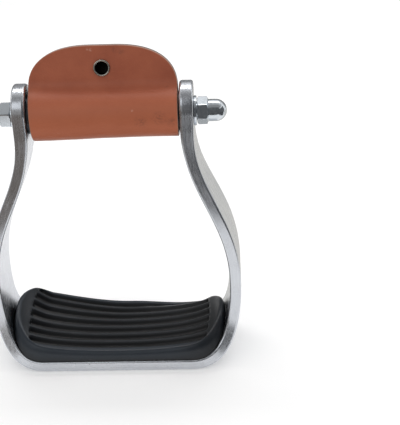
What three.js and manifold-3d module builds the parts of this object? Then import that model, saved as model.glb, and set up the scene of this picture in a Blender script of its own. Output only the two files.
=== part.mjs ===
// Western riding stirrup with a bell frame of polished aluminium.
// A bolt between the two ears carries a sleeve with a folded leather wrap,
// and a ribbed rubber pad is screwed to the tread plate.
// Millimetres. X runs along the bolt, Y from front to back, Z up.
// The origin is in the middle of the tread's underside.

import * as THREE from 'three';
import { mergeVertices } from 'three/addons/utils/BufferGeometryUtils.js';
import Module from 'manifold-3d';

const wasm = await Module();
wasm.setup();

// Fits
const seatGap = 0.3;
const runningGap = 0.3;
const boltClearance = 0.3;
const cutOverrun = 2;

// Frame: one flat bar, wide at the tread, narrow at the neck, with a round ear at each end
const neckOpening = 77;
const footOpening = 122;
const barThickness = 6;
const boltHeight = 139;
const earRadius = 15.5;
const earFilletRadius = 10;
const neckDepth = 24.5;
const bellyDepth = 30.5;
const treadDepth = 54;
const treadFlatWidth = 79;
const widestHeight = 45;
const neckStraightDrop = 8;
const edgeRadius = 1.2;

// How fast the bar bends: the lengths of the handles of its two curved stretches
const cornerRun = 15;
const cornerRise = 34;
const bellyRise = 41;
const shoulderDrop = 33;

// The bar widens slowly from the neck down to the belly, and quickly from there to the tread
const taperHighHeight = 126;
const taperLowHeight = 73;
const flareHighHeight = 37;
const flareLowHeight = 3;
const flarePower = 2.4;

// Rubber pad. The drops are how far its top lies lower at the tread's edge than in the middle,
// half way along the tread and at the pad's ends.
const padMiddleThickness = 6.6;
const padEndLength = 70;
const padEndBulge = 12;
const padEndThickness = 3.2;
const padEndOverhang = 5.5;
const padDishRun = 50;
const padMiddleDrop = 1.2;
const padEndDrop = 4;
const padEdgeInset = 0.6;
const padSideBorderWidth = 2.4;
const padEndBorderWidth = 4;
const padWallShare = 0.5;
const padShoulderWidthShare = 0.35;
const padShoulderHeightShare = 0.86;
const padCrownShares = [0.55, 0];
const ribPitch = 6.6;
const ribLandWidth = 2.2;
const grooveCount = 7;
const grooveDepth = 2.4;
const grooveFloorNarrowing = 0.6;
const ribFieldLength = 58.5;
const ribFieldBulge = 6;

// Screws that hold the pad, each in a square nut in the pad's underside
const padScrewFromFlatEnd = 8;
const padScrewFromEdge = 12;
const padScrewDiameter = 5;
const padScrewHeadDiameter = 9.2;
const padScrewHeadHeight = 2.4;
const padScrewHeadRecess = 0.3;
const padScrewTip = 0.6;
const padNutWidth = 8;
const padNutThickness = 2.7;

// Crossbar bolt, washers and acorn nuts
const boltDiameter = 8;
const boltEndChamfer = 0.8;
const boltEngagement = 10.5;
const washerDiameter = 15;
const washerThickness = 1.4;
const nutAcrossFlats = 12.2;
const nutHexHeight = 5.3;
const nutChamfer = 0.9;
const nutHeight = 14.8;
const domeDiameter = 11.2;
const domeWall = 2;
const rightNutTurn = -15;
const leftNutTurn = 2;

// Sleeve and leather wrap. At rest the flaps lean back a little.
const sleeveDiameter = 19.6;
const sleeveEndPlay = 0.5;
const wrapEndPlay = 1.4;
const wrapLean = 12;
const leatherThickness = 2.4;
const flapSeam = 0.3;
const flapHeight = 33.7;
const wrapThroatRadius = 7;
const flapCornerWidth = 31.5;
const flapCornerHeight = 21.5;
const flapCornerFullness = 2.4;

// Eyelet through both flaps, closed behind by its cap
const eyeletHeight = 22.6;
const eyeletBore = 6.4;
const eyeletWall = 0.45;
const eyeletFlangeDiameter = 8.4;
const eyeletFlangeThickness = 0.6;

// Facets
const edgeSteps = 2;
const legSteps = 32;
const filletSteps = 3;
const earSteps = 12;
const padSteps = 12;
const padEndSteps = 5;
const roundSteps = 40;
const smallRoundSteps = 24;
const loopSteps = 20;
const throatSteps = 8;
const domeSteps = 8;
const flapCornerSteps = 12;

// Finishes
const polishedAluminium = new THREE.MeshStandardMaterial({ color: 0xc9ccd2, metalness: 1, roughness: 0.25 });
const plainAluminium = new THREE.MeshStandardMaterial({ color: 0xb4b7bb, metalness: 1, roughness: 0.4 });
const brightZinc = new THREE.MeshStandardMaterial({ color: 0xd3d6d9, metalness: 1, roughness: 0.2 });
const nickel = new THREE.MeshStandardMaterial({ color: 0xcfcac0, metalness: 1, roughness: 0.25 });
const blackRubber = new THREE.MeshStandardMaterial({ color: 0x17181a, metalness: 0, roughness: 0.6 });
const saddleLeather = new THREE.MeshStandardMaterial({ color: 0x94523a, metalness: 0, roughness: 0.6 });

// Solids

function toSolid(geometry) {
  const bare = geometry.clone();
  bare.deleteAttribute('normal');
  bare.deleteAttribute('uv');
  const merged = mergeVertices(bare);
  const corners = merged.index.array;
  const kept = [];
  for (let i = 0; i < corners.length; i += 3) {
    const [a, b, c] = corners.slice(i, i + 3);
    if (a !== b && b !== c && c !== a) kept.push(a, b, c);
  }
  const vertProperties = new Float32Array(merged.attributes.position.array);
  const triVerts = new Uint32Array(kept);
  return new wasm.Manifold(new wasm.Mesh({ numProp: 3, vertProperties, triVerts }));
}

function toGeometry(solid) {
  const mesh = solid.getMesh();
  const geometry = new THREE.BufferGeometry();
  geometry.setAttribute('position', new THREE.BufferAttribute(new Float32Array(mesh.vertProperties), 3));
  geometry.setIndex(new THREE.BufferAttribute(new Uint32Array(mesh.triVerts), 1));
  geometry.computeVertexNormals();
  return geometry;
}

function subtractAll(solid, cutters) {
  return cutters.reduce((rest, cutter) => rest.subtract(cutter), solid);
}

// Joins rings of points into one skin. The two end rings are closed flat, or have shrunk to a line.
function loft(rings, flatEnds) {
  const count = rings[0].length;
  const positions = rings.flat().flatMap((point) => point.toArray());
  const corners = [];
  for (let ring = 0; ring < rings.length - 1; ring++) {
    for (let side = 0; side < count; side++) {
      const here = ring * count + side;
      const beside = ring * count + (side + 1) % count;
      corners.push(here, beside + count, beside, here, here + count, beside + count);
    }
  }
  if (flatEnds) {
    const last = (rings.length - 1) * count;
    for (let side = 1; side < count - 1; side++) {
      corners.push(0, side, side + 1);
      corners.push(last, last + side + 1, last + side);
    }
  }
  const geometry = new THREE.BufferGeometry();
  geometry.setAttribute('position', new THREE.Float32BufferAttribute(positions, 3));
  geometry.setIndex(corners);
  return geometry;
}

// A profile of [radius, distance] pairs turned about the Z axis
function turnedUp(profile, steps) {
  const points = profile.map(([radius, distance]) => new THREE.Vector2(radius, distance));
  return new THREE.LatheGeometry(points, steps).rotateX(Math.PI / 2);
}

// The same about the X axis
function turnedAcross(profile, steps) {
  const points = profile.map(([radius, distance]) => new THREE.Vector2(radius, distance));
  return new THREE.LatheGeometry(points, steps).rotateZ(-Math.PI / 2);
}

// The same about the Y axis
function turnedBack(profile, steps) {
  const points = profile.map(([radius, distance]) => new THREE.Vector2(radius, distance));
  return new THREE.LatheGeometry(points, steps);
}

function closedRing(innerRadius, outerRadius, start, end) {
  return [
    [innerRadius, start],
    [outerRadius, start],
    [outerRadius, end],
    [innerRadius, end],
    [innerRadius, start],
  ];
}

function rod(radius, start, end) {
  return [
    [0, start],
    [radius, start],
    [radius, end],
    [0, end],
  ];
}

function named(name, geometry, material) {
  const mesh = new THREE.Mesh(geometry, material);
  mesh.name = name;
  return mesh;
}

// The bar's centre line, for its right half: along the tread, round the corner, up the bell and
// straight up the ear. The left half mirrors it.

const barHalf = barThickness / 2;
const neckHalf = neckOpening / 2 + barHalf;
const widestHalf = footOpening / 2 + barHalf;
const treadFlatHalf = treadFlatWidth / 2;
const neckStraightHeight = boltHeight - neckStraightDrop;

function inPlane(x, z) {
  return new THREE.Vector3(x, 0, z);
}

const treadMiddle = inPlane(0, barHalf);
const cornerStart = inPlane(treadFlatHalf, barHalf);
const widest = inPlane(widestHalf, widestHeight);
const neckStart = inPlane(neckHalf, neckStraightHeight);
const earTop = inPlane(neckHalf, boltHeight + earRadius);

const centreLine = new THREE.CurvePath();
centreLine.add(new THREE.LineCurve3(treadMiddle, cornerStart));
centreLine.add(new THREE.CubicBezierCurve3(
  cornerStart,
  inPlane(treadFlatHalf + cornerRun, barHalf),
  inPlane(widestHalf, widestHeight - cornerRise),
  widest,
));
centreLine.add(new THREE.CubicBezierCurve3(
  widest,
  inPlane(widestHalf, widestHeight + bellyRise),
  inPlane(neckHalf, neckStraightHeight - shoulderDrop),
  neckStart,
));
centreLine.add(new THREE.LineCurve3(neckStart, earTop));

const barLength = centreLine.getLength();
const boltAlong = barLength - earRadius;

// A point beside the centre line: out is square to the bar, away from the foot
function besideBar(along, out, y) {
  const share = Math.min(along / barLength, 1);
  const point = centreLine.getPoint(share);
  const tangent = centreLine.getTangent(share);
  point.x += tangent.z * out;
  point.z -= tangent.x * out;
  point.y = y;
  return point;
}

function barHalfDepth(height) {
  const taper = THREE.MathUtils.smoothstep(-height, -taperHighHeight, -taperLowHeight);
  const legDepth = THREE.MathUtils.lerp(neckDepth, bellyDepth, taper);
  const drop = (flareHighHeight - height) / (flareHighHeight - flareLowHeight);
  const flare = Math.pow(THREE.MathUtils.clamp(drop, 0, 1), flarePower);
  return THREE.MathUtils.lerp(legDepth, treadDepth, flare) / 2;
}

function mirrored(ring) {
  return ring.map((point) => new THREE.Vector3(-point.x, point.y, point.z));
}

// Rings for the whole width from those of the right half, of which the first is in the middle
function bothHalves(rightRings) {
  const leftRings = rightRings.slice(1).map(mirrored).reverse();
  return [...leftRings, ...rightRings];
}

// Frame: sections of the bar with rounded edges, lofted along the centre line. Each station gives
// where the edge lies for a given inset, so that the rounding also runs round the ears.

const filletReach = neckDepth / 2 + earFilletRadius;
const filletDrop = Math.sqrt((earRadius + earFilletRadius) ** 2 - filletReach ** 2);
const filletTurn = Math.atan2(filletDrop, filletReach);

function edgeLayers() {
  const layers = [];
  for (let step = edgeSteps; step >= -edgeSteps; step--) {
    const turn = (Math.abs(step) / edgeSteps) * (Math.PI / 2);
    const out = barHalf - edgeRadius + edgeRadius * Math.sin(turn);
    const inset = edgeRadius * (1 - Math.cos(turn));
    if (step >= 0) layers.push({ out: -out, inset });
    if (step <= 0) layers.push({ out, inset });
  }
  return layers;
}

function frameStations() {
  const stations = [(inset) => [0, treadDepth / 2 - inset]];
  const filletStart = boltAlong - filletDrop;
  for (let step = 0; step <= legSteps; step++) {
    const along = THREE.MathUtils.lerp(treadFlatHalf, filletStart, step / legSteps);
    const half = barHalfDepth(besideBar(along, 0, 0).z);
    stations.push((inset) => [along, half - inset]);
  }
  for (let step = 1; step <= filletSteps; step++) {
    const turn = (filletTurn * step) / filletSteps;
    stations.push((inset) => [
      filletStart + (earFilletRadius + inset) * Math.sin(turn),
      filletReach - (earFilletRadius + inset) * Math.cos(turn),
    ]);
  }
  for (let step = 1; step <= earSteps; step++) {
    const turn = THREE.MathUtils.lerp(-filletTurn, Math.PI / 2, step / earSteps);
    const last = step === earSteps;
    stations.push((inset) => [
      boltAlong + (earRadius - inset) * Math.sin(turn),
      last ? 0 : (earRadius - inset) * Math.cos(turn),
    ]);
  }
  return stations;
}

function frameRing(station, layers) {
  const back = layers.map(({ out, inset }) => {
    const [along, half] = station(inset);
    return besideBar(along, out, half);
  });
  const front = back.map((point) => new THREE.Vector3(point.x, -point.y, point.z)).reverse();
  return [...back, ...front];
}

const boltHoleRadius = boltDiameter / 2 + boltClearance;
const screwRadius = padScrewDiameter / 2;
const screwHoleRadius = screwRadius + boltClearance;
const screwHeadTop = padScrewHeadRecess + padScrewHeadHeight;

const screwX = treadFlatHalf - padScrewFromFlatEnd;
const screwY = treadDepth / 2 - padScrewFromEdge;
const screwPlaces = [-1, 1].flatMap((sideX) => [-1, 1].map((sideY) => [sideX * screwX, sideY * screwY]));

function makeFrame() {
  const layers = edgeLayers();
  const rings = bothHalves(frameStations().map((station) => frameRing(station, layers)));
  const bar = toSolid(loft(rings, false));
  const boltHole = rod(boltHoleRadius, -neckHalf - barThickness, neckHalf + barThickness);
  const cutters = [toSolid(turnedAcross(boltHole, smallRoundSteps).translate(0, 0, boltHeight))];
  const headRadius = padScrewHeadDiameter / 2 + boltClearance;
  const screwHole = [
    [0, -cutOverrun],
    [headRadius, -cutOverrun],
    [headRadius, padScrewHeadRecess],
    [screwHoleRadius, screwHeadTop],
    [screwHoleRadius, barThickness + cutOverrun],
    [0, barThickness + cutOverrun],
  ];
  for (const [x, y] of screwPlaces) {
    cutters.push(toSolid(turnedUp(screwHole, smallRoundSteps).translate(x, y, 0)));
  }
  return toGeometry(subtractAll(bar, cutters));
}

// Pad: rings that each follow its outline, drawn as [along the bar, across the bar]. They start as
// a line in the middle of the seat, grow to the outline, climb the wall and the rounded border,
// and shrink again over the dished and crowned top. Grooves between the ribs are cut last.

const padTopHeight = barThickness + seatGap + padMiddleThickness;

function padSeat(along, across) {
  return besideBar(along, -barHalf - seatGap, across);
}

const padDish = new THREE.QuadraticBezierCurve3(
  inPlane(0, padTopHeight),
  inPlane(padDishRun, padTopHeight),
  besideBar(padEndLength + padEndOverhang, -barHalf - seatGap - padEndThickness, 0),
);

function padTop(along, across) {
  const share = Math.min(along / padEndLength, 1);
  const point = padDish.getPointAt(share);
  const down = padSeat(along, 0).sub(point).normalize();
  const edgeDrop = THREE.MathUtils.lerp(padMiddleDrop, padEndDrop, share ** 2);
  point.addScaledVector(down, edgeDrop * (across / (treadDepth / 2)) ** 2);
  point.y = across;
  return point;
}

// Half the pad's depth where its border follows the edge of the bar
function padHalfDepth(along) {
  return barHalfDepth(besideBar(along, 0, 0).z) - padEdgeInset;
}

// The outline from the middle of the back edge to the middle of the right end
function padOutline() {
  const outline = [];
  const bulgeStart = padEndLength - padEndBulge;
  for (let step = 0; step < padSteps; step++) {
    const along = (bulgeStart * step) / padSteps;
    outline.push([along, padHalfDepth(along)]);
  }
  const bulgeHalf = padHalfDepth(bulgeStart);
  for (let step = 0; step <= padEndSteps; step++) {
    const across = step === padEndSteps ? 0 : Math.cos((step / padEndSteps) * (Math.PI / 2));
    outline.push([padEndLength - padEndBulge * across ** 2, bulgeHalf * across]);
  }
  return outline;
}

// The outline moved inward by a share of the border's width, which is greater at the ends
function insetOutline(outline, widthShare) {
  return outline.map(([along, across], index) => {
    const [alongBefore, acrossBefore] = outline[index - 1] ?? [-outline[1][0], outline[1][1]];
    const [alongAfter, acrossAfter] = outline[index + 1] ?? [alongBefore, -acrossBefore];
    const square = new THREE.Vector2(acrossBefore - acrossAfter, alongAfter - alongBefore).normalize();
    const width = THREE.MathUtils.lerp(padSideBorderWidth, padEndBorderWidth, square.x ** 2);
    return [along - square.x * width * widthShare, across - square.y * width * widthShare];
  });
}

function padRing(outline, heightShare) {
  const back = outline.map(([along, across]) => {
    return padSeat(along, across).lerp(padTop(along, across), heightShare);
  });
  const front = back.map((point) => new THREE.Vector3(point.x, -point.y, point.z)).reverse();
  const right = [...back, ...front.slice(1)];
  return [...right, ...mirrored(right.slice(1, -1)).reverse()];
}

function narrowed(outline, share) {
  return outline.map(([along, across]) => [along, across * share]);
}

function grooveRing(along, across) {
  const top = padTop(along, across);
  const down = padSeat(along, across).sub(top).normalize();
  const floor = top.clone().addScaledVector(down, grooveDepth);
  const above = top.clone().addScaledVector(down, -cutOverrun);
  const topHalf = (ribPitch - ribLandWidth) / 2;
  const floorHalf = topHalf - grooveFloorNarrowing;
  const ring = [
    [above, topHalf],
    [floor, floorHalf],
    [floor, -floorHalf],
    [above, -topHalf],
  ];
  return ring.map(([point, side]) => new THREE.Vector3(point.x, across + side, point.z));
}

function makePad() {
  const outline = padOutline();
  const crest = insetOutline(outline, 1);
  const body = toSolid(loft([
    padRing(narrowed(outline, 0), 0),
    padRing(outline, 0),
    padRing(outline, padWallShare),
    padRing(insetOutline(outline, padShoulderWidthShare), padShoulderHeightShare),
    padRing(crest, 1),
    ...padCrownShares.map((share) => padRing(narrowed(crest, share), 1)),
  ], false));
  const cutters = [];
  for (let groove = 0; groove < grooveCount; groove++) {
    const across = (groove - (grooveCount - 1) / 2) * ribPitch;
    const end = ribFieldLength - ribFieldBulge * (across / (treadDepth / 2)) ** 2;
    const places = [...outline.map(([along]) => along).filter((along) => along < end), end];
    const rings = bothHalves(places.map((along) => grooveRing(along, across)));
    cutters.push(toSolid(loft(rings, true)));
  }
  const pocketWidth = padNutWidth + 2 * seatGap;
  const pocketTop = barThickness + seatGap + padNutThickness + seatGap;
  const pocketHeight = pocketTop - barThickness + cutOverrun;
  const tipTop = pocketTop + padScrewTip;
  for (const [x, y] of screwPlaces) {
    const pocket = new THREE.BoxGeometry(pocketWidth, pocketWidth, pocketHeight);
    cutters.push(toSolid(pocket.translate(x, y, pocketTop - pocketHeight / 2)));
    const tipHole = rod(screwHoleRadius, barThickness, tipTop);
    cutters.push(toSolid(turnedUp(tipHole, smallRoundSteps).translate(x, y, 0)));
  }
  return toGeometry(subtractAll(body, cutters));
}

// Screw and square nut of the pad, about their own axis, with the underside at zero
function makePadScrew() {
  const tip = barThickness + seatGap + padNutThickness + padScrewTip;
  const profile = [
    [0, padScrewHeadRecess],
    [padScrewHeadDiameter / 2, padScrewHeadRecess],
    [screwRadius, screwHeadTop],
    [screwRadius, tip],
    [0, tip],
  ];
  return toGeometry(toSolid(turnedUp(profile, smallRoundSteps)));
}

function makePadNut() {
  const bottom = barThickness + seatGap;
  const block = new THREE.BoxGeometry(padNutWidth, padNutWidth, padNutThickness);
  const body = toSolid(block.translate(0, 0, bottom + padNutThickness / 2));
  const hole = rod(screwHoleRadius, barThickness - cutOverrun, bottom + padNutThickness + cutOverrun);
  return toGeometry(body.subtract(toSolid(turnedUp(hole, smallRoundSteps))));
}

// Crossbar, about the bolt's axis
const earOuter = neckOpening / 2 + barThickness;
const washerStart = earOuter + seatGap;
const nutStart = washerStart + washerThickness + seatGap;
const boltHalfLength = nutStart + boltEngagement;

function makeBolt() {
  const radius = boltDiameter / 2;
  const profile = [
    [0, -boltHalfLength],
    [radius - boltEndChamfer, -boltHalfLength],
    [radius, -boltHalfLength + boltEndChamfer],
    [radius, boltHalfLength - boltEndChamfer],
    [radius - boltEndChamfer, boltHalfLength],
    [0, boltHalfLength],
  ];
  return toGeometry(toSolid(turnedAcross(profile, roundSteps)));
}

function makeWasher() {
  const profile = closedRing(boltHoleRadius, washerDiameter / 2, washerStart, washerStart + washerThickness);
  return toGeometry(toSolid(turnedAcross(profile, roundSteps)));
}

// The acorn nut: a hexagon with turned corners, a round dome and a blind bore
function makeAcornNut() {
  const cornerRadius = nutAcrossFlats / Math.sqrt(3);
  const hexEnd = nutStart + nutHexHeight;
  const domeRadius = domeDiameter / 2;
  const domeCentre = nutStart + nutHeight - domeRadius;
  const prism = new THREE.CylinderGeometry(cornerRadius, cornerRadius, nutHexHeight, 6);
  prism.rotateZ(-Math.PI / 2).translate(nutStart + nutHexHeight / 2, 0, 0);
  const turnedCorners = [
    [0, nutStart],
    [cornerRadius - nutChamfer, nutStart],
    [cornerRadius, nutStart + nutChamfer / 2],
    [cornerRadius, hexEnd - nutChamfer / 2],
    [cornerRadius - nutChamfer, hexEnd],
    [0, hexEnd],
  ];
  const dome = [
    [0, nutStart + nutHexHeight / 2],
    [domeRadius, nutStart + nutHexHeight / 2],
  ];
  for (let step = 0; step < domeSteps; step++) {
    const turn = (step / domeSteps) * (Math.PI / 2);
    dome.push([domeRadius * Math.cos(turn), domeCentre + domeRadius * Math.sin(turn)]);
  }
  dome.push([0, domeCentre + domeRadius]);
  const boreEnd = nutStart + nutHeight - domeWall;
  const bore = [
    [0, nutStart - cutOverrun],
    [boltHoleRadius, nutStart - cutOverrun],
    [boltHoleRadius, boltHalfLength + seatGap],
    [0, boreEnd],
  ];
  const hexagon = toSolid(prism).intersect(toSolid(turnedAcross(turnedCorners, roundSteps)));
  const whole = hexagon.add(toSolid(turnedAcross(dome, roundSteps)));
  return toGeometry(whole.subtract(toSolid(turnedAcross(bore, smallRoundSteps))));
}

const sleeveHalfLength = neckOpening / 2 - sleeveEndPlay;

function makeSleeve() {
  const bore = boltDiameter / 2 + runningGap;
  const profile = closedRing(bore, sleeveDiameter / 2, -sleeveHalfLength, sleeveHalfLength);
  return toGeometry(toSolid(turnedAcross(profile, roundSteps)));
}

// Leather wrap: one strip folded round the sleeve, its two flaps pressed together above.
// The section is drawn across the bolt with Y to the right and Z up.
const wrapWidth = neckOpening - 2 * wrapEndPlay;
const flapOuter = flapSeam / 2 + leatherThickness;

function arc(centreY, centreZ, radius, from, to, steps) {
  const points = [];
  for (let step = 0; step <= steps; step++) {
    const turn = THREE.MathUtils.lerp(from, to, step / steps);
    points.push(new THREE.Vector2(centreY + radius * Math.cos(turn), centreZ + radius * Math.sin(turn)));
  }
  return points;
}

// One face of the leather, from a flap's top edge down to the bottom of the loop, behind the bolt
function leatherFace(loopRadius, throatRadius, flapY) {
  const throatY = flapY + throatRadius;
  const throatZ = Math.sqrt((loopRadius + throatRadius) ** 2 - throatY ** 2);
  const meeting = Math.atan2(throatZ, throatY);
  const top = new THREE.Vector2(flapY, flapHeight + cutOverrun);
  const throat = arc(throatY, throatZ, throatRadius, Math.PI, Math.PI + meeting, throatSteps);
  const loop = arc(0, 0, loopRadius, meeting, -Math.PI / 2, loopSteps).slice(1);
  return [top, ...throat, ...loop];
}

function frontOf(points) {
  return points.slice().reverse().map((point) => new THREE.Vector2(-point.x, point.y));
}

// The right corner of a flap, from its side edge to its top edge: fuller than an ellipse
function flapCorner() {
  const points = [];
  const power = 2 / flapCornerFullness;
  for (let step = 0; step <= flapCornerSteps; step++) {
    const turn = (step / flapCornerSteps) * (Math.PI / 2);
    const x = wrapWidth / 2 - flapCornerWidth * (1 - Math.cos(turn) ** power);
    const z = flapHeight - flapCornerHeight * (1 - Math.sin(turn) ** power);
    points.push(new THREE.Vector2(x, z));
  }
  return points;
}

function makeWrap() {
  const innerLoop = sleeveDiameter / 2 + runningGap;
  const outside = leatherFace(innerLoop + leatherThickness, wrapThroatRadius, flapOuter);
  const inside = leatherFace(innerLoop, wrapThroatRadius + leatherThickness, flapSeam / 2);
  const frontOutside = frontOf(outside).slice(1);
  const frontInside = frontOf(inside).slice(1);
  const insideFromFront = frontInside.slice().reverse();
  const insideToBack = inside.slice().reverse();
  const outline = [...outside, ...frontOutside, ...insideFromFront, ...insideToBack];
  const section = new THREE.ExtrudeGeometry(new THREE.Shape(outline), {
    depth: wrapWidth,
    bevelEnabled: false,
  });
  const acrossBolt = new THREE.Matrix4().makeBasis(
    new THREE.Vector3(0, 1, 0),
    new THREE.Vector3(0, 0, 1),
    new THREE.Vector3(1, 0, 0),
  );
  section.applyMatrix4(acrossBolt).translate(-wrapWidth / 2, 0, 0);

  const loopReach = innerLoop + leatherThickness + cutOverrun;
  const overhang = wrapWidth / 2 + cutOverrun;
  const rightCorner = flapCorner();
  const leftCorner = rightCorner.map((point) => new THREE.Vector2(-point.x, point.y)).reverse();
  const trim = new THREE.Shape([
    new THREE.Vector2(-overhang, -loopReach),
    new THREE.Vector2(overhang, -loopReach),
    new THREE.Vector2(overhang, rightCorner[0].y),
    ...rightCorner,
    ...leftCorner,
    new THREE.Vector2(-overhang, rightCorner[0].y),
  ]);
  const trimmer = new THREE.ExtrudeGeometry(trim, { depth: 2 * loopReach, bevelEnabled: false });
  trimmer.rotateX(Math.PI / 2).translate(0, loopReach, 0);

  const holeRadius = eyeletBore / 2 + eyeletWall + seatGap;
  const hole = turnedBack(rod(holeRadius, -loopReach, loopReach), smallRoundSteps);
  const trimmed = toSolid(section).intersect(toSolid(trimmer));
  return toGeometry(trimmed.subtract(toSolid(hole.translate(0, 0, eyeletHeight))));
}

// Eyelet: a thin tube, rolled out over the leather in front and closed by a flat cap behind
function makeEyelet() {
  const bore = eyeletBore / 2;
  const tube = bore + eyeletWall;
  const flange = eyeletFlangeDiameter / 2;
  const seat = flapOuter + seatGap;
  const face = seat + eyeletFlangeThickness;
  const profile = [
    [0, seat],
    [bore, seat],
    [bore, -seat],
    [tube, -face],
    [flange - eyeletFlangeThickness / 2, -face],
    [flange, -seat],
    [tube, -seat],
    [tube, seat],
    [flange, seat],
    [flange - eyeletFlangeThickness / 2, face],
    [0, face],
  ];
  return toGeometry(toSolid(turnedBack(profile, smallRoundSteps)));
}

// Assembly

const stirrup = new THREE.Group();
stirrup.add(named('frame', makeFrame(), polishedAluminium));
stirrup.add(named('tread_pad', makePad(), blackRubber));

const padScrew = makePadScrew();
const padNut = makePadNut();
screwPlaces.forEach(([x, y], index) => {
  const screw = named(`pad_screw_${index + 1}`, padScrew, brightZinc);
  const nut = named(`pad_nut_${index + 1}`, padNut, brightZinc);
  screw.position.set(x, y, 0);
  nut.position.set(x, y, 0);
  stirrup.add(screw, nut);
});

const crossbar = new THREE.Group();
crossbar.position.z = boltHeight;
crossbar.add(named('crossbar_bolt', makeBolt(), brightZinc));
crossbar.add(named('bolt_sleeve', makeSleeve(), plainAluminium));

const leaning = new THREE.Group();
leaning.rotation.x = -THREE.MathUtils.degToRad(wrapLean);
leaning.add(named('leather_wrap', makeWrap(), saddleLeather));
const eyelet = named('eyelet', makeEyelet(), nickel);
eyelet.position.z = eyeletHeight;
leaning.add(eyelet);
crossbar.add(leaning);

const washer = makeWasher();
const acornNut = makeAcornNut();
for (const [side, turn] of [['right', rightNutTurn], ['left', leftNutTurn]]) {
  const sideWasher = named(`washer_${side}`, washer, brightZinc);
  const sideNut = named(`acorn_nut_${side}`, acornNut, brightZinc);
  const turnedRound = side === 'left' ? Math.PI : 0;
  sideWasher.rotation.z = turnedRound;
  sideNut.rotation.set(THREE.MathUtils.degToRad(turn), 0, turnedRound);
  crossbar.add(sideWasher, sideNut);
}
stirrup.add(crossbar);

export default stirrup;
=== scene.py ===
# %% [markdown]
# # A riding stirrup of polished aluminium
#
# This lesson dresses a western bell stirrup in Blender. Its construction is already settled:
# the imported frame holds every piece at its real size, in metres, with Z up and X along the
# crossbar. Here each visible piece gets the fine surface and the finish of the real one: a bar
# of polished aluminium, a ribbed rubber pad, a folded leather wrap and bright steel nuts.

# %% Load the fixed frame
import math

import bmesh
import bpy
import numpy as np
from mathutils import Matrix, Vector, noise


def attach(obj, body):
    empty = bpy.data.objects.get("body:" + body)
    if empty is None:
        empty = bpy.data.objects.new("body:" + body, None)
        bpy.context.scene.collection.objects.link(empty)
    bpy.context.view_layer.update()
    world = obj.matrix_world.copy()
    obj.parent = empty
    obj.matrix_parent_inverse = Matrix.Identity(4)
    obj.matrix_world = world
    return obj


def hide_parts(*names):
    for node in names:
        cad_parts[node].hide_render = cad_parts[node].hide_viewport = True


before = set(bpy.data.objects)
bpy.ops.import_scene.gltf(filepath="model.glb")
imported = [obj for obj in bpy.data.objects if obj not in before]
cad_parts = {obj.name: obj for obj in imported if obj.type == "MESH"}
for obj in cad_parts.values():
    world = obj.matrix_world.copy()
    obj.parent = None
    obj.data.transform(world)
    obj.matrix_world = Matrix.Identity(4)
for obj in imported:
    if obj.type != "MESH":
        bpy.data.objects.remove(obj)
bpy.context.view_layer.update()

# %% [markdown]
# ## Units and colours
#
# Sizes are easier to read in millimetres, as on a workshop drawing, so each is written as a
# number of millimetres times MM. Colours are written as the hex values that a designer would
# pick on a screen. Blender computes with linear light, so one function turns them.

# %% Millimetres and hex colours
MM = 0.001


def linear(hex_colour):
    channels = [int(hex_colour[i:i + 2], 16) / 255 for i in (1, 3, 5)]
    return [c / 12.92 if c <= 0.04045 else ((c + 0.055) / 1.055) ** 2.4 for c in channels] + [1]


# %% [markdown]
# ## The camera
#
# The photographer stood in front of the stirrup, a little to its right, and looked down on it.
# The camera repeats that place. It is given by the point that it looks past, how far away it
# stands, and three angles, so it can be turned like a real one on its tripod. The picture is
# 400 by 425 pixels, and a point of the stirrup is tied to the pixel where the photograph has it.

# %% Camera
picture_width_px, picture_height_px = 400, 425
focal_length_px = 1025.4
known_point = Vector((0, 0, 70 * MM))
known_pixel = (114.1, 233.3)
camera_distance = 545 * MM
azimuth, elevation, roll = (math.radians(angle) for angle in (1.85, 27.59, -1.97))

sideways = Vector((math.cos(azimuth), math.sin(azimuth), 0))
backward = Vector((math.sin(azimuth) * math.cos(elevation),
                   -math.cos(azimuth) * math.cos(elevation), math.sin(elevation)))
upward = backward.cross(sideways)
camera_right = sideways * math.cos(roll) + upward * math.sin(roll)
camera_up = upward * math.cos(roll) - sideways * math.sin(roll)
pixel_size = camera_distance / focal_length_px
offset_right = (known_pixel[0] - picture_width_px / 2) * pixel_size
offset_up = (picture_height_px / 2 - known_pixel[1]) * pixel_size

camera_data = bpy.data.cameras.new("camera")
camera_data.sensor_width = 36
camera_data.lens = focal_length_px / picture_height_px * camera_data.sensor_width
camera_data.clip_start = 0.01
camera = bpy.data.objects.new("camera", camera_data)
place = known_point - camera_right * offset_right - camera_up * offset_up + backward * camera_distance
turn = Matrix((camera_right, camera_up, backward)).transposed()
camera.matrix_world = Matrix.Translation(place) @ turn.to_4x4()
bpy.context.scene.collection.objects.link(camera)
bpy.context.scene.camera = camera
print("camera stands at", [round(c / MM) for c in place], "mm")
print("its lens has", round(camera_data.lens, 1), "mm")

# %% [markdown]
# ## Turning points into pieces
#
# Every piece below is computed as a cloud of points with faces between them, in millimetres.
# One helper makes the Blender object: it closes seams where points coincide, turns all faces
# outward, and shades smoothly except across creases sharper than a given angle. Another cuts
# holes with Blender's boolean modifier and keeps only the result.

# %% Helpers for pieces
merge_distance, least_edge = 0.002 * MM, 0.001 * MM
usual_crease = 35


def store(mesh, name, values):
    attribute = mesh.attributes.new(name, "FLOAT_VECTOR", "POINT")
    attribute.data.foreach_set("vector", np.asarray(values, np.float32).ravel())


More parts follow.
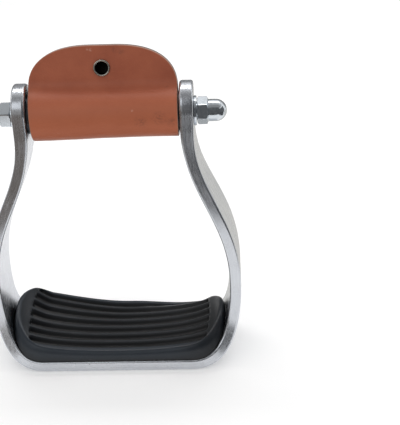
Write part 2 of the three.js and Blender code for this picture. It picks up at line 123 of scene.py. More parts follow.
def make_piece(name, points, faces, crease=usual_crease, **values):
    """Other values, one for each point, are stored on the mesh for the materials to read."""
    mesh = bpy.data.meshes.new(name)
    mesh.from_pydata((np.asarray(points, float) * MM).tolist(), [], faces)
    for value_name, value in values.items():
        store(mesh, value_name, value)
    sculpt = bmesh.new()
    sculpt.from_mesh(mesh)
    bmesh.ops.remove_doubles(sculpt, verts=sculpt.verts, dist=merge_distance)
    bmesh.ops.dissolve_degenerate(sculpt, edges=sculpt.edges, dist=least_edge)
    bmesh.ops.recalc_face_normals(sculpt, faces=sculpt.faces)
    sculpt.to_mesh(mesh)
    sculpt.free()
    mesh.shade_smooth()
    mesh.set_sharp_from_angle(angle=math.radians(crease))
    piece = bpy.data.objects.new(name, mesh)
    bpy.context.scene.collection.objects.link(piece)
    return piece


def apply_modifiers(piece):
    evaluated = piece.evaluated_get(bpy.context.evaluated_depsgraph_get())
    finished = bpy.data.meshes.new_from_object(evaluated)
    piece.modifiers.clear()
    piece.data = finished
    finished.shade_smooth()
    finished.set_sharp_from_angle(angle=math.radians(usual_crease))


def cut_away(piece, cutter):
    cut = piece.modifiers.new("cut", "BOOLEAN")
    cut.operation, cut.solver, cut.object = "DIFFERENCE", "EXACT", cutter
    apply_modifiers(piece)
    bpy.data.objects.remove(cutter)


def fit(piece, body, slot, material, *stands_for):
    piece.data.materials.clear()
    piece.data.materials.append(material)
    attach(piece, body)
    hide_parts(*stands_for)
    size = [round(side / MM, 1) for side in piece.dimensions]
    print(piece.name, len(piece.data.polygons), "faces,", size, "mm")


def skin(rings):
    """Points and faces between rings that all have the same number of points, each ring closed."""
    count = len(rings[0])
    across = np.arange(count)
    beside = (across + 1) % count
    faces = []
    for ring in range(len(rings) - 1):
        low, high = ring * count, (ring + 1) * count
        faces += np.stack([low + across, low + beside, high + beside, high + across], 1).tolist()
    return np.concatenate(rings), faces


def joined(*parts):
    """One cloud of points and one list of faces from several pairs of them."""
    faces, start = [], 0
    for points, part_faces in parts:
        faces += [[start + corner for corner in face] for face in part_faces]
        start += len(points)
    return np.concatenate([points for points, _ in parts]), faces


def turned(profile, steps, axis, middle=(0, 0, 0)):
    """A profile of (distance, radius) pairs turned about an axis: the lathe's way of shaping."""
    profile = np.asarray(profile, float)
    angles = np.arange(steps) / steps * 2 * math.pi
    rings = []
    for distance, radius in profile:
        around = [radius * np.cos(angles), radius * np.sin(angles)]
        along = np.full(steps, distance)
        columns = {"x": [along, *around], "y": [around[1], along, around[0]], "z": [*around, along]}
        rings.append(np.stack(columns[axis], 1) + middle)
    return rings


def drill(radius, reach):
    """The profile of a drill that cuts through everything within its reach to both sides."""
    return [(-reach, 0), (-reach, radius), (reach, radius), (reach, 0)]


# %% [markdown]
# ## The frame: a bar bent like a bell
#
# The real frame is cast in one piece and then ground and polished by hand. It is easiest to
# see as a flat bar, 6 mm thick, that runs along the tread, round the corners, up the two legs
# and into a rounded ear at each end. It could be modelled with a curve and a bevel, but the
# bar also changes its width all the way. So its centre line is computed first, as two straight
# and two curved stretches, and every later shape asks it for "the point so far along the bar
# and so far beside it". The pad uses the same line, so it follows the tread exactly. Pieces
# that lie on each other keep a hair's breadth between them, as they do in the frame.

# %% The bar's sizes and centre line, right half
bar_half, neck_half, widest_half = 3, 41.5, 64
tread_flat_half, widest_height = 39.5, 45
bolt_height, ear_top = 139, 15.5
ear_radius, ear_fillet = 12.4, 200
neck_depth, belly_depth, tread_depth = 24.5, 30.5, 54
edge_radius, neck_straight, seat_gap = 1.2, 8, 0.3
neck_start = bolt_height - neck_straight
corner_pull, corner_rise, belly_rise, neck_rise = 15, 34, 41, 33  # the curves' handles


def bezier(*corners, steps=500):
    share = np.linspace(0, 1, steps)[:, None]
    points = [np.asarray(corner, float) for corner in corners]
    while len(points) > 1:
        points = [a * (1 - share) + b * share for a, b in zip(points, points[1:])]
    return points[0]


def travelled(points):
    return np.concatenate([[0], np.cumsum(np.linalg.norm(np.diff(points, axis=0), axis=1))])


centre_line = np.concatenate([
    bezier((0, bar_half), (tread_flat_half, bar_half)),
    bezier((tread_flat_half, bar_half), (tread_flat_half + corner_pull, bar_half),
           (widest_half, widest_height - corner_rise), (widest_half, widest_height))[1:],
    bezier((widest_half, widest_height), (widest_half, widest_height + belly_rise),
           (neck_half, neck_start - neck_rise), (neck_half, neck_start))[1:],
    bezier((neck_half, neck_start), (neck_half, bolt_height + ear_top))[1:],
])
line_length = travelled(centre_line)
heading = np.gradient(centre_line, line_length, axis=0)
heading /= np.linalg.norm(heading, axis=1)[:, None]
bolt_along = line_length[-1] - ear_top
ear_middle = line_length[-1] - ear_radius
print("the bar is", round(2 * line_length[-1]), "mm long")


def beside_bar(along, out, across):
    """Points along the bar from the tread's middle, out from its centre line, and across it."""
    along, out, across = np.broadcast_arrays(*(np.asarray(v, float) for v in (along, out, across)))
    x, z, run, rise = (np.interp(np.abs(along), line_length, values)
                       for values in (*centre_line.T, *heading.T))
    return np.stack([np.where(along < 0, -1, 1) * (x + rise * out), across, z - run * out], -1)


def smooth(start, end, value):
    share = np.clip((value - start) / (end - start), 0, 1)
    return share * share * (3 - 2 * share)


narrow_height, wide_height, flare_height, flare_power = 126, 73, 37, 2.4


def bar_half_depth(along):
    """The bar widens slowly from the neck to the belly, and quickly from there to the tread."""
    height = beside_bar(along, 0, 0)[..., 2]
    leg = neck_depth + (belly_depth - neck_depth) * smooth(narrow_height, wide_height, height)
    flare = np.clip((flare_height - height) / (flare_height - bar_half), 0, 1) ** flare_power
    return (leg + (tread_depth - leg) * flare) / 2


# %% [markdown]
# The bar is skinned from sections, one every millimetre. Each section is a ring of points: the
# back edge with its rounding, the outer face, the front edge and the inner face. The rounding
# also has to run round the ears, so each station says how its place moves when the edge is
# inset. Hand polishing leaves broad faces a little uneven, never optically flat, and that is
# what makes reflections in cast metal waver, so the faces get waves of a few hundredths of a
# millimetre in the mesh itself. The front edges of the ears run almost straight into the legs,
# which a fillet of a very large radius gives.

# %% Sections of the bar
tread_steps, leg_steps, fillet_steps, ear_steps, edge_steps, face_steps = 24, 170, 16, 72, 7, 12
fillet_reach = neck_depth / 2 + ear_fillet
fillet_drop = math.sqrt((ear_radius + ear_fillet) ** 2 - fillet_reach ** 2)
fillet_turn = math.atan2(fillet_drop, fillet_reach)
fillet_start = ear_middle - fillet_drop

tread = np.linspace(0, tread_flat_half, tread_steps)[:-1]
leg = np.linspace(tread_flat_half, fillet_start, leg_steps)
turns_in = np.linspace(0, fillet_turn, fillet_steps)[1:]
turns_round = np.linspace(-fillet_turn, math.pi / 2, ear_steps)[1:]
before_ear = np.concatenate([tread, leg])
stations = np.concatenate([
    np.stack([before_ear, bar_half_depth(before_ear), 0 * before_ear, 0 * before_ear - 1], 1),
    np.stack([fillet_start + ear_fillet * np.sin(turns_in),
              fillet_reach - ear_fillet * np.cos(turns_in),
              np.sin(turns_in), -np.cos(turns_in)], 1),
    np.stack([ear_middle + ear_radius * np.sin(turns_round), ear_radius * np.cos(turns_round),
              -np.sin(turns_round), -np.cos(turns_round)], 1),
])

quarter = np.linspace(math.pi / 2, 0, edge_steps)
edge_out = bar_half - edge_radius + edge_radius * np.sin(quarter)
edge_inset = edge_radius * (1 - np.cos(quarter))
edge_out = np.concatenate([-edge_out, edge_out[::-1]])
edge_inset = np.concatenate([edge_inset, edge_inset[::-1]])
face_shares = np.linspace(1, -1, face_steps)[1:-1]

# %% Ears a little thicker, faces a little wavy
thickening_start, thickening_end = bolt_along - 24, bolt_along - 6
thicker_inside, thicker_outside = 0.2, 0.07
wave_length, wave_height = 14, 0.04


def ear_thickness(along, out):
    """The ears are a seventh thicker than the legs, mostly on the inside."""
    at_ear = smooth(thickening_start, thickening_end, np.abs(along))
    return out * (1 + np.where(out < 0, thicker_inside, thicker_outside) * at_ear)


def polished_waves(along, out, across):
    places = np.stack([along / wave_length, across / wave_length, np.sign(out)], 1)
    return wave_height * np.array([noise.noise(Vector(place)) for place in places])


def bar_section(station, side):
    along, half, along_per_inset, half_per_inset = station
    edge_along = along + edge_inset * along_per_inset
    edge_half = half + edge_inset * half_per_inset
    face_along = np.full(len(face_shares), along + edge_radius * along_per_inset)
    face_across = face_shares * (half + edge_radius * half_per_inset)
    rows = [
        (edge_along, edge_out, edge_half),
        (face_along, bar_half + 0 * face_along, face_across),
        (edge_along[::-1], edge_out[::-1], -edge_half[::-1]),
        (face_along, -bar_half + 0 * face_along, -face_across),
    ]
    along, out, across = (np.concatenate(values) for values in zip(*rows))
    waves = polished_waves(side * along, out, across)
    return beside_bar(side * along, ear_thickness(along, out) + waves, across)


# %% The frame's mesh
sections = [bar_section(station, -1) for station in stations[:0:-1]]
sections += [bar_section(station, 1) for station in stations]
bar = make_piece("bell_frame", *skin(sections))

# %% [markdown]
# Five holes go through the bar: one across both ears for the bolt, and four countersunk ones
# in the tread for the pad's screws.

# %% Holes in the frame
screw_from_end, screw_from_side = 8, 12
screw_x, screw_y = tread_flat_half - screw_from_end, tread_depth / 2 - screw_from_side
screw_places = [(x, y) for x in (-screw_x, screw_x) for y in (-screw_y, screw_y)]
bolt_hole_radius, past_both_ears = 4.3, 60
bolt_middle = (0, 0, bolt_height)
bolt_hole = turned(drill(bolt_hole_radius, past_both_ears), 64, "x", bolt_middle)
cut_away(bar, make_piece("bolt_hole", *skin(bolt_hole)))
countersink_profile = [(-2, 0), (-2, 4.9), (0.3, 4.9), (2.7, 2.8), (8, 2.8), (8, 0)]
for x, y in screw_places:
    countersink = turned(countersink_profile, 48, "z", (x, y, 0))
    cut_away(bar, make_piece("countersink", *skin(countersink)))
evened = bar.modifiers.new("even shading", "WEIGHTED_NORMAL")
evened.keep_sharp = True

# %% [markdown]
# ## Covering a rounded outline with a grid
#
# The rubber pad and the leather wrap both start as flat shapes with rounded corners. A fine
# regular grid keeps ribs and folds crisp, and the outline has to stay smooth. So the grid's
# columns run at chosen places, each as long as the outline allows there, and the rows that
# would stick out are pulled back onto the outline. The helper also gives the rim: the boundary
# points in order, from which the piece's edge is then built ring by ring.

# %% A grid inside an outline
narrowest_share = 0.3  # of a row's width: what would be narrower is left out


def tiled(columns, halves, rows):
    """Points and faces that cover |row| <= half at each column, and which points form the rim."""
    places, numbers, faces = [], {}, []
    margin = narrowest_share * (rows[1] - rows[0])
    for column, half in enumerate(halves):
        for row, value in enumerate(rows):
            clipped = abs(value) > half - margin
            key = ("rim", column, value > 0) if clipped else ("inside", column, row)
            if key not in numbers:
                numbers[key] = len(places)
                places.append((columns[column], math.copysign(half, value) if clipped else value))
            numbers[column, row] = numbers[key]
    for column in range(len(columns) - 1):
        for row in range(len(rows) - 1):
            corners = [numbers[column, row], numbers[column + 1, row],
                       numbers[column + 1, row + 1], numbers[column, row + 1]]
            corners = list(dict.fromkeys(corners))
            if len(corners) > 2:
                faces.append(corners)
    last_row, last_column = len(rows) - 1, len(columns) - 1
    rim = [numbers[column, last_row] for column in range(last_column + 1)]
    rim += [numbers[last_column, row] for row in range(last_row, -1, -1)]
    rim += [numbers[column, 0] for column in range(last_column, -1, -1)]
    rim += [numbers[0, row] for row in range(last_row + 1)]
    return np.array(places), faces, list(dict.fromkeys(rim))


def outward(rim_points):
    """The direction square to the rim at each of its points, away from the shape."""
    ahead = np.roll(rim_points, -1, axis=0) - np.roll(rim_points, 1, axis=0)
    return np.stack([-ahead[:, 1], ahead[:, 0]], 1) / np.linalg.norm(ahead, axis=1)[:, None]


# %% [markdown]
# ## The rubber pad
#
# The pad is moulded rubber, screwed to the tread so that a boot doesn't slip. Its top is
# dished: it climbs towards both legs. Six narrow ribs with rounded crowns run along it between
# seven deep grooves, inside a plain rounded border. The grooves could be a bump in the material,
# but they are over 2 mm deep and change the outline and the shadows, so they are real geometry:
# a height field over the tread. A real pad is never quite even either: this one has been
# trodden into a slight twist.

# %% The pad's surfaces: its seat on the bar and its dished top
pad_length, pad_bulge, pad_corner = 70, 12, 6
pad_middle_top, dish_pull, dish_overrun, pad_end_thickness = 12.9, 50, 5.5, 3.2
middle_drop, end_drop = 1.2, 4  # how much lower the front and back are than the middle
pad_seat_out = -bar_half - seat_gap
dish = bezier((0, pad_middle_top), (dish_pull, pad_middle_top),
              beside_bar(pad_length + dish_overrun, pad_seat_out - pad_end_thickness, 0)[[0, 2]])
dish_length = travelled(dish)


def pad_seat(along, across):
    return beside_bar(along, pad_seat_out, across)


def pad_top(along, across):
    share = np.clip(np.abs(along) / pad_length, 0, 1)
    x, z = (np.interp(share * dish_length[-1], dish_length, values) for values in dish.T)
    top = np.stack([np.where(along < 0, -x, x), 0 * x, z], -1)
    down = pad_seat(along, 0 * along) - top
    down /= np.linalg.norm(down, axis=-1)[..., None]
    drop = (middle_drop + (end_drop - middle_drop) * share ** 2) * (across / (tread_depth / 2)) ** 2
    top += down * drop[..., None]
    top[..., 1] = across
    return top, -down


# %% The pad's outline, drawn with straight ends and then bent so that they bulge
side_gap, bulge_start = 0.6, 20
bulge_half = bar_half_depth(pad_length - pad_bulge) - side_gap


def bulged(places):
    along, across = places.T
    bulge = pad_bulge * smooth(bulge_start, pad_length, np.abs(along)) * (across / bulge_half) ** 2
    return np.sign(along) * (np.abs(along) - bulge), across


def pad_side(along):
    """How far the pad reaches sideways, in a few steps because the bulge moves the place."""
    half = bar_half_depth(along) - side_gap
    for _ in range(4):
        bent, _ = bulged(np.stack([along, half], 1))
        half = bar_half_depth(bent) - side_gap
    return half


def rounded_halves(columns, halves, corner):
    """Shortens the last columns so that the corners are round."""
    beyond = np.clip(np.abs(columns) - (np.abs(columns).max() - corner), 0, corner)
    return halves - corner + np.sqrt(corner ** 2 - beyond ** 2)


def corner_columns(reach, corner, pitch):
    """Columns at an even pitch, closer together where the corners turn."""
    inner = reach - corner
    middle = np.linspace(-inner, inner, round(2 * inner / pitch) + 1)
    turning = inner + corner * np.sin(np.linspace(0, math.pi / 2, 11)[1:])
    return np.concatenate([-turning[::-1], middle, turning])


# %% Ribs, grooves and the twist
rib_pitch, groove_depth, outer_groove = 6.6, 2.4, 19.8
groove_floor_half, groove_half, front_groove_loss = 1.2, 2.75, 0.4
groove_reach, groove_reach_loss = 58.5, 6
end_fade, side_fade = (-0.6, 1.6), (0.1, 1.2)
least_floor = 10.1
left_rises = ((4.2, 5, -46), (3.2, -40, -51))  # each a height, and from where to where in x
right_rises = ((-3.9, 4, 44), (2.6, 44, 54))
left_fade, right_fade = (-8, 22), (14, 24)  # from where to where in y


def groove_share(along, across, side_room):
    """How deep the grooves are at a place, from 0 to 1: they fade out before the border."""
    groove_middle = np.clip(np.round(across / rib_pitch) * rib_pitch, -outer_groove, outer_groove)
    groove = 1 - smooth(groove_floor_half, groove_half, np.abs(across - groove_middle))
    groove *= 1 - front_groove_loss * smooth(1 - outer_groove, -outer_groove, across)
    end_room = groove_reach - groove_reach_loss * (across / (tread_depth / 2)) ** 2 - np.abs(along)
    return groove * smooth(*end_fade, end_room) * smooth(*side_fade, side_room)


def twist(points):
    """The back of the pad stands higher on the left, and lower on the right."""
    x, y = points[..., 0], points[..., 1]
    left, right = (sum(height * smooth(start, end, x) for height, start, end in rises)
                   for rises in (left_rises, right_rises))
    return left * smooth(*left_fade, y) + right * smooth(*right_fade, y)


# %% The ribbed crest, inside its border
side_border, end_border, column_pitch = 2.4, 4, 0.8
row_reach, crest_row_count = 24.6, 165
rib_wear = 0.45
crest_corner = pad_corner - side_border
crest_columns = corner_columns(pad_length - end_border, crest_corner, column_pitch)
crest_halves = rounded_halves(crest_columns, pad_side(crest_columns) - side_border, crest_corner)
crest_rows = np.linspace(-row_reach, row_reach, crest_row_count)
crest_places, pad_faces, pad_rim = tiled(crest_columns, crest_halves, crest_rows)

along, across = bulged(crest_places)
side_room = np.interp(crest_places[:, 0], crest_columns, crest_halves) - np.abs(across)
top, up = pad_top(along, across)
grooves = groove_share(along, across, side_room)
pad_points = top - up * (groove_depth * grooves)[:, None]
pad_points[:, 2] = np.maximum(pad_points[:, 2] + twist(pad_points), least_floor)
# Painted shade: the grooves stay black, and the crowns and the band beside the outer grooves turn grey
# as wear.
crest_wear = (1 - grooves) ** 2 * np.where(np.abs(across) < outer_groove, rib_wear, 1)
thinnest = (pad_points - pad_seat(along, across))[:, 2].min()
print("the rubber below the grooves is at least", round(thinnest, 2), "mm thick")

# %% The pad's rounded border, its wall and its underside
# Painted light on the border and the wall: grey for wear and sheen on the rounding, and for the floor's
# reflection on the wall, fading to painted shade at its foot.
wall_heights, wall_wear = (0.4, 0.25, 0.08, 0), [0.75, 0.6, 0.4, 0, 0]
border_wear = 0.85
right_wear_loss, right_wear_fade = 0.6, (25, 55)  # painted shade: its right end is made darker
rim_places = crest_places[pad_rim]
rim_out = outward(rim_places)
rim_width = side_border + (end_border - side_border) * rim_out[:, 0] ** 2


def pad_ring(width_share, height_share, across_share=1):
    places = (rim_places + rim_out * (rim_width * width_share)[:, None]) * (1, across_share)
    along, across = bulged(places)
    top, _ = pad_top(along, across)
    top[:, 2] += twist(top)
    seat = pad_seat(along, across)
    return seat + (top - seat) * height_share


rounding = np.linspace(0, math.pi / 2, 9)
pad_rings = [pad_ring(math.sin(turn), 0.5 + 0.5 * math.cos(turn)) for turn in rounding]
pad_rings += [pad_ring(1, height) for height in wall_heights] + [pad_ring(1, 0, 0)]
ring_wear = [border_wear + (1 - border_wear) * math.cos(turn) for turn in rounding] + wall_wear
pad_points, pad_faces = joined((pad_points, pad_faces), skin(pad_rings))
worn = np.concatenate([crest_wear, np.repeat(ring_wear, len(rim_places))])
worn *= 1 - right_wear_loss * smooth(*right_wear_fade, pad_points[:, 0])
pad = make_piece("ribbed_pad", pad_points, pad_faces, crease=50, worn=np.stack([worn] * 3, 1))

# %% [markdown]
# ## The leather wrap
#
# One strip of saddle leather, 2.4 mm thick, is folded round the sleeve on the bolt, and its two
# flaps are held together above by an eyelet. Leather this thick bends in wide curves and
# keeps its thickness, so the strip is drawn flat first, with its rounded corners, and then
# bent: round the sleeve, back through a hollow, and straight up. Simulated cloth would be too
# limp for it. The flaps lean back a little, as in the photograph. The strip is cut and bent by
# hand, so its left end slants and hangs a little lower, and its faces swell slightly.

# %% The strip's path round the sleeve
leather, loop_radius, hollow_radius = 2.4, 11.3, 8.2
flap_middle, flap_height = 1.35, 33.7
hollow_across = flap_middle + hollow_radius
hollow_height = math.sqrt((loop_radius + hollow_radius) ** 2 - hollow_across ** 2)
meeting = math.atan2(hollow_height, hollow_across)
loop_length = loop_radius * (meeting + math.pi / 2)
hollow_length = hollow_radius * meeting
wrap_lean = math.radians(-12)


def strip_section(run, out):
    """Across and up, for a run along the strip from the loop's bottom and a distance outside it."""
    side, run = np.where(run < 0, -1, 1), np.abs(run)
    round_loop = np.clip(run, 0, loop_length) / loop_radius - math.pi / 2
    round_hollow = math.pi + meeting - np.clip(run - loop_length, 0, hollow_length) / hollow_radius
    rise = np.clip(run - loop_length - hollow_length, 0, None)
    on_loop = run < loop_length
    across = np.where(on_loop, (loop_radius + out) * np.cos(round_loop),
                      hollow_across + (hollow_radius - out) * np.cos(round_hollow))
    up = np.where(on_loop, (loop_radius + out) * np.sin(round_loop),
                  hollow_height + (hollow_radius - out) * np.sin(round_hollow) + rise)
    return side * across, up


def leaning(points):
    """Turns points about the bolt by the lean of the flaps, and lifts them to the bolt."""
    x, y, z = np.asarray(points, float).T
    cos, sin = math.cos(wrap_lean), math.sin(wrap_lean)
    return np.stack([x, y * cos - z * sin, y * sin + z * cos + bolt_height], 1)


# %% The strip's outline: full corners on both flaps
wrap_half, corner_width, corner_height, fullness = 37.1, 31.5, 21.5, 2.4
cut_rounding, longest_run = 0.4, 80
corner_turns = np.linspace(0, math.pi / 2, 60)
corner_x = wrap_half - cut_rounding - corner_width * (1 - np.cos(corner_turns) ** (2 / fullness))
corner_z = flap_height - cut_rounding - corner_height * (1 - np.sin(corner_turns) ** (2 / fullness))
flat_top = np.linspace(0, corner_x[-1], 8)[:-1]
half_columns = np.concatenate([flat_top, corner_x[::-1]])
half_heights = np.concatenate([0 * flat_top + corner_z[-1], corner_z[::-1]])
run_samples = np.linspace(0, longest_run, 2000)
half_runs = np.interp(half_heights, strip_section(run_samples, 0)[1], run_samples)
wrap_columns = np.concatenate([-half_columns[:0:-1], half_columns])
wrap_halves = np.concatenate([half_runs[:0:-1], half_runs])
print("the strip is", round(2 * (half_runs[0] + cut_rounding)), "mm long before it is folded")

# %% The flat strip and how it is bent
row_overrun, strip_row_count = 0.3, 177
wrap_reach = half_runs[0] + row_overrun
wrap_rows = np.linspace(-wrap_reach, wrap_reach, strip_row_count)
strip_places, strip_faces, strip_rim = tiled(wrap_columns, wrap_halves, wrap_rows)
slant, droop, swell_height, swell_length = 1.2, 1.1, 0.18, 16
left_end, droop_start = -37, 20  # in x
slant_fades, droop_fade = ((-40, -12), (16, 2)), (34, 12)  # along the strip


def bent_strip(places, out):
    """The flat strip bent into place, with the unevenness of leather cut and bent by hand."""
    x, run = places.T
    aside = slant * smooth(0, left_end, x)
    for fade in slant_fades:
        aside = aside * smooth(*fade, run)
    swell = np.array([noise.noise(Vector((a, b, 3))) for a, b in places / swell_length])
    across, up = strip_section(run, out + swell_height * swell)
    lower = droop * smooth(droop_start, left_end, x) * smooth(*droop_fade, np.abs(run))
    return leaning(np.stack([x + aside, across, up - lower], 1))


rim_places = strip_places[strip_rim]
rim_out = outward(rim_places)


def strip_ring(beyond, out):
    return bent_strip(rim_places + rim_out * beyond, out)


# %% [markdown]
# Two faces and a rounded cut edge between them close the strip. Three marks are stored with the
# points, for the material to read: the raw edge of the front flap, which is pale, the raw edge of
# the back flap, which is painted dark as shade, and the loop, which is painted paler, partly for
# leather stretched round it and partly as painted light.

# %% The wrap's mesh
stretch_and_light_share, stretch_and_light_fade = 0.6, (34, 18)
face_out, edge_outs = leather / 2, (0.4, 0, -0.4)
outer_face = bent_strip(strip_places, face_out)
inner_face = bent_strip(strip_places, -face_out)
edge_turns = np.linspace(0, math.pi / 2, 5)
beyond, under = cut_rounding * np.sin(edge_turns), cut_rounding * (1 - np.cos(edge_turns))
edge_rings = [strip_ring(*place) for place in zip(beyond, face_out - under)]
edge_rings += [strip_ring(cut_rounding, out) for out in edge_outs]
edge_rings += [strip_ring(*place) for place in zip(beyond[::-1], (under - face_out)[::-1])]

raw_share = np.concatenate([np.sin(edge_turns), [1] * len(edge_outs), np.sin(edge_turns[::-1])])
raw = raw_share[:, None] * np.ones(len(rim_places))
in_front = rim_places[:, 1] < 0
# Painted light: the loop is made paler, partly for leather stretched round it and partly as painted
# light where it turns up to the lamp.
stretch_and_light = stretch_and_light_share * smooth(*stretch_and_light_fade, np.abs(strip_places[:, 1]))
face_wear = np.stack([0 * stretch_and_light, 0 * stretch_and_light, stretch_and_light], 1)
# The back flap's raw edge is painted dark as shade; the front flap's raw edge is pale raw leather.
rim_wear = np.stack([raw * in_front, raw * ~in_front, 0 * raw + stretch_and_light[strip_rim]], 2)
wear = np.concatenate([face_wear, face_wear, rim_wear.reshape(-1, 3)])
wrap_mesh = joined((outer_face, strip_faces), (inner_face, strip_faces), skin(edge_rings))
wrap = make_piece("folded_wrap", *wrap_mesh, crease=60, wear=wear)

# %% [markdown]
# ## The eyelet
#
# A nickel plated eyelet holds the flaps together. Its tube goes through both, its rim is rolled
# out over the leather in front, and a cap closes it behind, so that the hole lies in shade; its
# inside is painted black as that shade. It is turned about its axis, like most small round
# hardware, from a profile of its section.

# %% Eyelet through both flaps
eyelet_height, eyelet_bore, eyelet_outer = 22.6, 3.2, 4.2
tube_hole_radius, past_both_flaps = 3.95, 9
roll_radius, roll_along, roll_middle = 0.5, -2.92, 3.7
eyelet_middle = (0, 0, eyelet_height)
tube_hole = turned(drill(tube_hole_radius, past_both_flaps), 48, "y", eyelet_middle)
cut_away(wrap, make_piece("tube_hole", *skin([leaning(ring) for ring in tube_hole])))

rim_turns = np.linspace(0, math.pi, 13)
rolled_rim = [(roll_along - roll_radius * math.sin(t), roll_middle - roll_radius * math.cos(t))
              for t in rim_turns]
eyelet_profile = [(2.75, 0), (2.75, 2.8), (2.5, 3.2), (0, eyelet_bore), *rolled_rim, (-2.7, 4.0),
                  (-2.65, 3.66), (0, 3.65), (2.65, 3.66), (2.65, 4.1), (2.85, eyelet_outer),
                  (3.2, 4.1), (3.4, 3.8), (3.45, 3.4), (3.45, 0)]
eyelet_rings = turned(eyelet_profile, 64, "y", eyelet_middle)
eyelet = make_piece("rolled_eyelet", *skin([leaning(ring) for ring in eyelet_rings]), crease=50)

# %% [markdown]
# ## Acorn nuts, washers and pad screws
#
# The bolt's ends carry bright zinc plated steel: a pressed washer and an acorn nut, whose dome
# keeps the thread from scratching the horse. The nut is turned from a profile too, but where it
# is a hexagon, the radius at each angle is no more than the distance to the flat. The corners
# of the turned profile cut arcs into the flats, exactly as the chamfer does on a real nut.

# %% Acorn nuts
ear_outer, washer_thickness = 44.5, 1.4
nut_flat, hexagon_length, nut_length, nut_face_radius, dome_radius = 6.1, 5.3, 14.8, 5.9, 5.6
bolt_reach, hollow_tip, nut_steps, corner_softness = 10.5, 2, 240, 0.16
washer_start = ear_outer + seat_gap
nut_start = washer_start + washer_thickness + seat_gap
nut_corner = 2 * nut_flat / math.sqrt(3)
hexagon_end, nut_end = nut_start + hexagon_length, nut_start + nut_length
bolt_end = nut_start + bolt_reach


def soft_least(a, b, softness):
    """The lesser of two, with the corner between them rounded."""
    near = np.clip(0.5 + 0.5 * (b - a) / softness, 0, 1)
    return b + (a - b) * near - softness * near * (1 - near)


dome_turns = np.linspace(0, math.pi / 2, 22)
dome_start = nut_end - dome_radius
dome = [(dome_start + dome_radius * math.sin(t), dome_radius * math.cos(t)) for t in dome_turns]
low_along, low_in, high_along, high_in = 0.45, 0.9, 0.5, 1.05
least_step, neck_step, dome_step = 0.05, 0.08, 0.3
chamfer_low = [(nut_start + least_step + low_along * share, nut_corner - low_in + low_in * share)
               for share in np.linspace(0, 1, 9)]
chamfer_high = [(hexagon_end - high_along + high_along * share, nut_corner - high_in * share)
                for share in np.linspace(0, 1, 9)]
nut_profile = [(nut_end - hollow_tip, 0), (bolt_end + seat_gap, bolt_hole_radius),
               (nut_start, bolt_hole_radius), (nut_start, nut_face_radius), *chamfer_low, *chamfer_high,
               (hexagon_end + neck_step, nut_face_radius), (hexagon_end + dome_step, dome_radius),
               *dome]


def acorn_nut(side, corner_angle):
    rings = turned(nut_profile, nut_steps, "x")
    angles = np.arange(nut_steps) / nut_steps * 2 * math.pi
    from_flat = (angles - corner_angle) % (math.pi / 3) - math.pi / 6
    flat_radius = nut_flat / np.cos(from_flat)
    shaped = []
    for ring, (distance, radius) in zip(rings, nut_profile):
        if nut_start < distance <= hexagon_end and radius > dome_radius:
            ring[:, 1:] *= (soft_least(radius, flat_radius, corner_softness) / radius)[:, None]
        shaped.append(ring * (side, 1, 1) + bolt_middle)
    return shaped


# %% Washers with pressed edges
washer_profile = [(0, 4.3), (0, 7.2), (0.1, 7.42), (0.3, 7.5), (1.1, 7.5), (1.3, 7.42), (1.4, 7.2),
                  (1.4, 4.6), (1.3, 4.35), (1.1, 4.3), (0, 4.3)]


def washer(side):
    placed = [(washer_start + distance, radius) for distance, radius in washer_profile]
    return [ring * (side, 1, 1) for ring in turned(placed, 72, "x", bolt_middle)]


# %% Pad screws: countersunk heads with a cross recess, seen from below
recess_length, recess_width, recess_depth = 2.7, 0.62, 1.5
recess_end_slope, recess_side_slope = 1.1, 0.25


def cross_recess(x, y):
    slots = [smooth(recess_length, recess_length - recess_end_slope, np.abs(a))
             * smooth(recess_width, recess_width - recess_side_slope, np.abs(b))
             for a, b in ((x, y), (y, x))]
    return recess_depth * np.maximum(*slots)


def pad_screw(x, y, turn):
    head = [(0.3, radius) for radius in np.linspace(0, 4.45, 28)]
    profile = [*head, (0.38, 4.58), (0.5, 4.5), (2.7, 2.5), (9.4, 2.5), (9.6, 2.3), (9.6, 0)]
    rings = turned(profile, 96, "z")
    for ring in rings[:len(head)]:
        a = ring[:, 0] * math.cos(turn) + ring[:, 1] * math.sin(turn)
        b = ring[:, 1] * math.cos(turn) - ring[:, 0] * math.sin(turn)
        ring[:, 2] += cross_recess(a, b)
    return [ring + (x, y, 0) for ring in rings]

# %% [markdown]
# ## Materials
#
# A material in Blender is a small network of nodes. One function below adds a node, with its
# settings and with what goes into its sockets: a plain value, a colour or another node's output.
# Every pattern starts from the object's own coordinates in metres, so a grain of 0.6 mm is
# a scale of 1 over 0.6 mm, and the pattern moves with its piece.

# %% A helper that adds a node
def add(tree, kind, sockets=None, **settings):
    node = tree.nodes.new("ShaderNode" + kind)
    for setting, value in settings.items():
        setattr(node, setting, value)
    for socket, value in (sockets or {}).items():
        if isinstance(value, str):
            value = linear(value)
        if isinstance(value, bpy.types.Node):
            value = value.outputs[0]
        if isinstance(value, bpy.types.NodeSocket):
            tree.links.new(value, node.inputs[socket])
        else:
            node.inputs[socket].default_value = value
    return node


def connect(shader, **sources):
    for socket, node in sources.items():
        shader.id_data.links.new(node.outputs[0], shader.inputs[socket.replace("_", " ")])


def new_material(name, **finish):
    """A material whose shader's own sockets hold what is the same all over, and its coordinates."""
    material = bpy.data.materials.new(name)
    material.use_nodes = True
    shader = material.node_tree.nodes["Principled BSDF"]
    for socket, value in finish.items():
        shader.inputs[socket.replace("_", " ")].default_value = value
    object_place = add(material.node_tree, "TexCoord").outputs["Object"]
    return material, material.node_tree, shader, object_place


# %% [markdown]
# ### Polished cast aluminium
#
# The frame is cast aluminium, ground and then buffed. That leaves fine streaks along the bar, a
# mild haze over the mirror, and here and there a pit from the casting. The metal is a cool light
# grey. The streaks are noise that is stretched forty times along the bar, so it needs to know
# where along the bar it is: that is stored on the mesh as an attribute.

